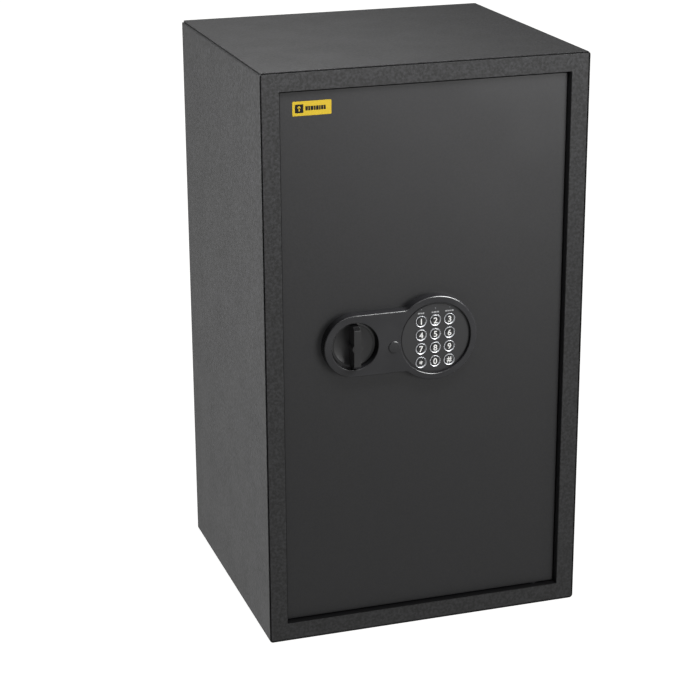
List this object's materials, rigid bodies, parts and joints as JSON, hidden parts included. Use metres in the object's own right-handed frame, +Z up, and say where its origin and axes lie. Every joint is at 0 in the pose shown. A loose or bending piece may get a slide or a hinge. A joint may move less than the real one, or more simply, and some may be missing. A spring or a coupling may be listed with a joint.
{
  "type": "electronic safe",
  "caption": "Tall freestanding electronic safe with an inset hinged door, a turn knob that throws the bolts, a round keypad and a hidden override lock, with inner shelves.",
  "frame": {"origin": "centre of the cabinet's base, on the surface it stands on", "axes": "+X to the right as seen from the front, +Y from the front to the back, +Z up"},
  "size_m": [0.4, 0.374, 0.7],
  "materials": {
    "coat_textured": "fine-textured black powder coat",
    "coat_satin": "satin black powder coat, finer texture than the cabinet's",
    "coat_inside": "textured black powder coat",
    "mat_felt": "needled grey felt mat",
    "label_film": "printed yellow vinyl label",
    "zinc_steel": "zinc-plated pressed and turned steel",
    "bright_steel": "bright nickel-plated steel",
    "nylon_white": "turned white nylon",
    "housing_abs": "satin-gloss black moulded ABS",
    "keypad_plastic": "fine matt dark grey moulded plastic",
    "ring_silver": "silver hot-stamped ring",
    "key_plastic": "matt black moulded key with a white numeral",
    "led_lens": "milky moulded lens",
    "membrane_rubber": "moulded silicone switch mat",
    "circuit_board": "green solder mask",
    "coil_copper": "enamelled copper winding under tape",
    "tray_plastic": "black moulded plastic",
    "cell_wrap": "printed foil wrap",
    "wire_pvc": "PVC insulation",
    "lock_brass": "turned brass",
    "button_red": "red moulded button"
  },
  "bodies": {
    "cabinet": {"body_shell": "coat_textured", "back_panel": "coat_textured", "front_frame": "coat_textured", "hinge_bushes": "zinc_steel", "shelf_upper": "coat_inside", "shelf_lower": "coat_inside", "shelf_rails": "coat_inside", "floor_mat": "mat_felt", "thrust_washer": "nylon_white"},
    "door": {"door_plate": "coat_satin", "door_pan": "coat_inside", "door_liner": "coat_inside", "liner_screws": "zinc_steel", "hinge_blocks": "zinc_steel", "hinge_pins": "zinc_steel", "name_label": "label_film", "lock_housing": "housing_abs", "housing_screws": "zinc_steel", "keypad_face": "keypad_plastic", "key_rings": "ring_silver", "status_leds": "led_lens", "keypad_membrane": "membrane_rubber", "keypad_board": "circuit_board", "override_lock_body": "zinc_steel", "override_lock_nut": "zinc_steel", "spindle_bush": "nylon_white", "guide_studs": "zinc_steel", "solenoid_frame": "zinc_steel", "solenoid_coil": "coil_copper", "plunger_spring": "bright_steel", "battery_tray": "tray_plastic", "batteries": "cell_wrap", "control_board": "circuit_board", "bracket_screws": "zinc_steel", "wiring": "wire_pvc", "reset_switch": "tray_plastic"},
    "knob": {"knob": "housing_abs", "knob_spindle": "zinc_steel", "drive_cam": "zinc_steel"},
    "bolt_work": {"bolt_carriage": "zinc_steel", "locking_bolts": "bright_steel"},
    "plunger": {"solenoid_plunger": "bright_steel", "release_link": "zinc_steel"},
    "override": {"override_core": "lock_brass", "override_cam": "zinc_steel"},
    "keyhole_plug": {"keyhole_plug": "housing_abs"},
    "battery_cover": {"battery_cover": "tray_plastic"},
    "reset_button": {"reset_button": "button_red"},
    "key_1": {"key_1": "key_plastic"},
    "key_2": {"key_2": "key_plastic"},
    "key_3": {"key_3": "key_plastic"},
    "key_4": {"key_4": "key_plastic"},
    "key_5": {"key_5": "key_plastic"},
    "key_6": {"key_6": "key_plastic"},
    "key_7": {"key_7": "key_plastic"},
    "key_8": {"key_8": "key_plastic"},
    "key_9": {"key_9": "key_plastic"},
    "key_star": {"key_star": "key_plastic"},
    "key_0": {"key_0": "key_plastic"},
    "key_hash": {"key_hash": "key_plastic"}
  },
  "joints": [
    {"name": "door_open", "type": "hinge", "parent": "cabinet", "child": "door", "pos_m": [0.149, -0.1625, 0.35], "axis": [0, 0, 1], "range_deg": [0, 100]},
    {"name": "knob_turn", "type": "hinge", "parent": "door", "child": "knob", "pos_m": [-0.091, -0.17, 0.3705], "axis": [0, -1, 0], "range_deg": [0, 90]},
    {"name": "bolt_throw", "type": "slide", "parent": "door", "child": "bolt_work", "axis": [-1, 0, 0], "range_m": [0, 0.018]},
    {"name": "plunger_drop", "type": "slide", "parent": "door", "child": "plunger", "axis": [0, 0, -1], "range_m": [0, 0.008], "deforming": ["plunger_spring"]},
    {"name": "override_turn", "type": "hinge", "parent": "door", "child": "override", "pos_m": [-0.0427, -0.16, 0.365], "axis": [0, -1, 0], "range_deg": [-90, 0]},
    {"name": "plug_pull", "type": "slide", "parent": "door", "child": "keyhole_plug", "axis": [0, -1, 0], "range_m": [0, 0.012]},
    {"name": "cover_slide", "type": "slide", "parent": "door", "child": "battery_cover", "axis": [0, 0, 1], "range_m": [0, 0.05]},
    {"name": "reset_press", "type": "slide", "parent": "door", "child": "reset_button", "axis": [0, -1, 0], "range_m": [0, 0.0015], "stiffness_N_per_m": 400},
    {"name": "key_1_press", "type": "slide", "parent": "door", "child": "key_1", "axis": [0, 1, 0], "range_m": [0, 0.0012], "stiffness_N_per_m": 400},
    {"name": "key_2_press", "type": "slide", "parent": "door", "child": "key_2", "axis": [0, 1, 0], "range_m": [0, 0.0012], "stiffness_N_per_m": 400},
    {"name": "key_3_press", "type": "slide", "parent": "door", "child": "key_3", "axis": [0, 1, 0], "range_m": [0, 0.0012], "stiffness_N_per_m": 400},
    {"name": "key_4_press", "type": "slide", "parent": "door", "child": "key_4", "axis": [0, 1, 0], "range_m": [0, 0.0012], "stiffness_N_per_m": 400},
    {"name": "key_5_press", "type": "slide", "parent": "door", "child": "key_5", "axis": [0, 1, 0], "range_m": [0, 0.0012], "stiffness_N_per_m": 400},
    {"name": "key_6_press", "type": "slide", "parent": "door", "child": "key_6", "axis": [0, 1, 0], "range_m": [0, 0.0012], "stiffness_N_per_m": 400},
    {"name": "key_7_press", "type": "slide", "parent": "door", "child": "key_7", "axis": [0, 1, 0], "range_m": [0, 0.0012], "stiffness_N_per_m": 400},
    {"name": "key_8_press", "type": "slide", "parent": "door", "child": "key_8", "axis": [0, 1, 0], "range_m": [0, 0.0012], "stiffness_N_per_m": 400},
    {"name": "key_9_press", "type": "slide", "parent": "door", "child": "key_9", "axis": [0, 1, 0], "range_m": [0, 0.0012], "stiffness_N_per_m": 400},
    {"name": "key_star_press", "type": "slide", "parent": "door", "child": "key_star", "axis": [0, 1, 0], "range_m": [0, 0.0012], "stiffness_N_per_m": 400},
    {"name": "key_0_press", "type": "slide", "parent": "door", "child": "key_0", "axis": [0, 1, 0], "range_m": [0, 0.0012], "stiffness_N_per_m": 400},
    {"name": "key_hash_press", "type": "slide", "parent": "door", "child": "key_hash", "axis": [0, 1, 0], "range_m": [0, 0.0012], "stiffness_N_per_m": 400}
  ],
  "couplings": [
    {"joint": "knob_turn", "follows": "bolt_throw", "rad_per_m": 87.266}
  ]
}
